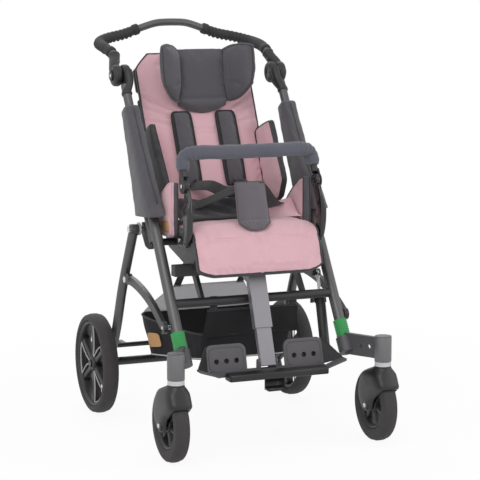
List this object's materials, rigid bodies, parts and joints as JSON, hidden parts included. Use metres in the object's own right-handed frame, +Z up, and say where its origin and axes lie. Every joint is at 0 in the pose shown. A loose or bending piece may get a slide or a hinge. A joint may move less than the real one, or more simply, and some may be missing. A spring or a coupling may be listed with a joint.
{
  "type": "special needs buggy",
  "caption": "Folding push buggy for a seated child, with padded tilting seat, reclining back with headrest, bumper bar, footplate, swivel casters and rear wheels.",
  "frame": {"origin": "on the floor under the middle of the buggy's box", "axes": "+Z up, the front faces -Y, X across from the buggy's right hand side as seen from the front"},
  "size_m": [0.67, 0.9141, 1.1369],
  "materials": {
    "graphite_paint": "satin powder coat",
    "black_plastic": "moulded, fine grain",
    "black_metal": "satin paint",
    "grip_rubber": "ribbed soft rubber",
    "steel": "plated",
    "light_plastic": "moulded",
    "green_rubber": "elastomer",
    "charcoal_fabric": "woven, padded",
    "pink_fabric": "woven, padded",
    "black_fabric": "plain weave",
    "tyre_rubber": "moulded tread",
    "rim_plastic": "moulded",
    "silver_metal": "brushed, anodised",
    "grey_plastic": "moulded"
  },
  "bodies": {
    "frame": {"front_tube_left": "graphite_paint", "front_tube_right": "graphite_paint", "handle_tubes": "graphite_paint", "fold_rails": "graphite_paint", "fold_brackets": "black_plastic", "frame_pins": "steel", "lower_cross_tube": "graphite_paint", "seat_posts": "black_plastic", "seat_pivot_tube": "graphite_paint", "caster_arm_left": "black_plastic", "caster_arm_right": "black_plastic", "bearing_rings": "light_plastic", "suspension_sleeves": "green_rubber", "joint_bases": "black_plastic", "tube_sleeves": "charcoal_fabric", "basket": "black_fabric"},
    "handle": {"handle_bar": "graphite_paint", "grips": "grip_rubber", "joint_caps": "black_plastic"},
    "button_left": {"button_left": "black_plastic"},
    "button_right": {"button_right": "black_plastic"},
    "caster_left": {"caster_fork_left": "black_plastic"},
    "caster_right": {"caster_fork_right": "black_plastic"},
    "caster_wheel_left": {"caster_tyre_left": "tyre_rubber", "caster_rim_left": "rim_plastic"},
    "caster_wheel_right": {"caster_tyre_right": "tyre_rubber", "caster_rim_right": "rim_plastic"},
    "rear_frame": {"rear_leg_left": "graphite_paint", "rear_leg_right": "graphite_paint", "leg_caps": "light_plastic", "fold_links": "graphite_paint", "rear_axle": "graphite_paint"},
    "brake": {"brake_bar": "black_plastic"},
    "rear_wheel_left": {"rear_tyre_left": "tyre_rubber", "rear_rim_left": "rim_plastic"},
    "rear_wheel_right": {"rear_tyre_right": "tyre_rubber", "rear_rim_right": "rim_plastic"},
    "seat": {"seat_frame": "black_metal", "seat_base": "black_plastic", "seat_pad": "pink_fabric", "hip_pads": "pink_fabric", "side_plates": "black_plastic", "crotch_pad": "charcoal_fabric", "buckle": "black_plastic", "lap_straps": "black_fabric", "hinge_pins": "steel", "foot_post_outer": "silver_metal"},
    "strut_barrel": {"strut_cylinder": "black_metal"},
    "strut_rod": {"strut_rod": "steel"},
    "bumper": {"bumper_tube": "graphite_paint", "bumper_cover": "charcoal_fabric"},
    "backrest": {"back_shell": "black_plastic", "back_pad": "pink_fabric", "back_wings": "pink_fabric", "shoulder_pads": "charcoal_fabric"},
    "headrest": {"headrest_plate": "black_plastic", "headrest_pad": "charcoal_fabric"},
    "foot_slide": {"foot_post_inner": "silver_metal"},
    "footplate": {"footplate": "grey_plastic", "foot_board": "black_plastic"}
  },
  "joints": [
    {"name": "handle_tilt", "type": "hinge", "parent": "frame", "child": "handle", "pos_m": [0, 0.20226, 0.98288], "axis": [1, 0, 0], "range_deg": [-30, 60]},
    {"name": "button_left_press", "type": "slide", "parent": "handle", "child": "button_left", "axis": [1, 0, 0], "range_m": [0, 0.004], "stiffness_N_per_m": 600, "springref_m": -0.002},
    {"name": "button_right_press", "type": "slide", "parent": "handle", "child": "button_right", "axis": [-1, 0, 0], "range_m": [0, 0.004], "stiffness_N_per_m": 600, "springref_m": -0.002},
    {"name": "rear_fold", "type": "hinge", "parent": "frame", "child": "rear_frame", "pos_m": [0, 0.01649, 0.56724], "axis": [-1, 0, 0], "range_deg": [0, 40]},
    {"name": "brake_press", "type": "hinge", "parent": "rear_frame", "child": "brake", "pos_m": [0, 0.25124, 0.191], "axis": [-1, 0, 0], "range_deg": [0, 20]},
    {"name": "rear_left_spin", "type": "hinge", "parent": "rear_frame", "child": "rear_wheel_left", "pos_m": [-0.307, 0.24524, 0.145], "axis": [1, 0, 0], "continuous": true},
    {"name": "rear_right_spin", "type": "hinge", "parent": "rear_frame", "child": "rear_wheel_right", "pos_m": [0.307, 0.24524, 0.145], "axis": [1, 0, 0], "continuous": true},
    {"name": "caster_left_swivel", "type": "hinge", "parent": "frame", "child": "caster_left", "pos_m": [-0.3, -0.39676, 0.2], "axis": [0, 0, 1], "continuous": true},
    {"name": "caster_right_swivel", "type": "hinge", "parent": "frame", "child": "caster_right", "pos_m": [0.3, -0.39676, 0.2], "axis": [0, 0, 1], "continuous": true},
    {"name": "caster_left_spin", "type": "hinge", "parent": "caster_left", "child": "caster_wheel_left", "pos_m": [-0.3, -0.35676, 0.1], "axis": [1, 0, 0], "continuous": true},
    {"name": "caster_right_spin", "type": "hinge", "parent": "caster_right", "child": "caster_wheel_right", "pos_m": [0.3, -0.35676, 0.1], "axis": [1, 0, 0], "continuous": true},
    {"name": "seat_tilt", "type": "hinge", "parent": "frame", "child": "seat", "pos_m": [0, -0.01624, 0.53123], "axis": [-1, 0, 0], "range_deg": [0, 20]},
    {"name": "strut_swing", "type": "hinge", "parent": "frame", "child": "strut_barrel", "pos_m": [0.22, -0.16424, 0.36323], "axis": [1, 0, 0], "range_deg": [0, 17.3]},
    {"name": "strut_extend", "type": "slide", "parent": "strut_barrel", "child": "strut_rod", "axis": [0, 0.2577, 0.9662], "range_m": [0, 0.0473]},
    {"name": "back_recline", "type": "hinge", "parent": "seat", "child": "backrest", "pos_m": [0, 0.06776, 0.57323], "axis": [-1, 0, 0], "range_deg": [0, 30]},
    {"name": "headrest_height", "type": "slide", "parent": "backrest", "child": "headrest", "axis": [0, 0.4226, 0.9063], "range_m": [0, 0.07]},
    {"name": "bumper_swing", "type": "hinge", "parent": "seat", "child": "bumper", "pos_m": [0, -0.18824, 0.70523], "axis": [1, 0, 0], "range_deg": [0, 80]},
    {"name": "foot_height", "type": "slide", "parent": "seat", "child": "foot_slide", "axis": [0, 0.3453, 0.9385], "range_m": [0, 0.08]},
    {"name": "foot_flip", "type": "hinge", "parent": "foot_slide", "child": "footplate", "pos_m": [0, -0.29922, 0.23155], "axis": [-1, 0, 0], "range_deg": [0, 75]}
  ],
  "couplings": [
    {"joint": "strut_swing", "follows": "seat_tilt", "ratio": 0.8407},
    {"joint": "strut_extend", "follows": "seat_tilt", "m_per_rad": 0.13417}
  ]
}
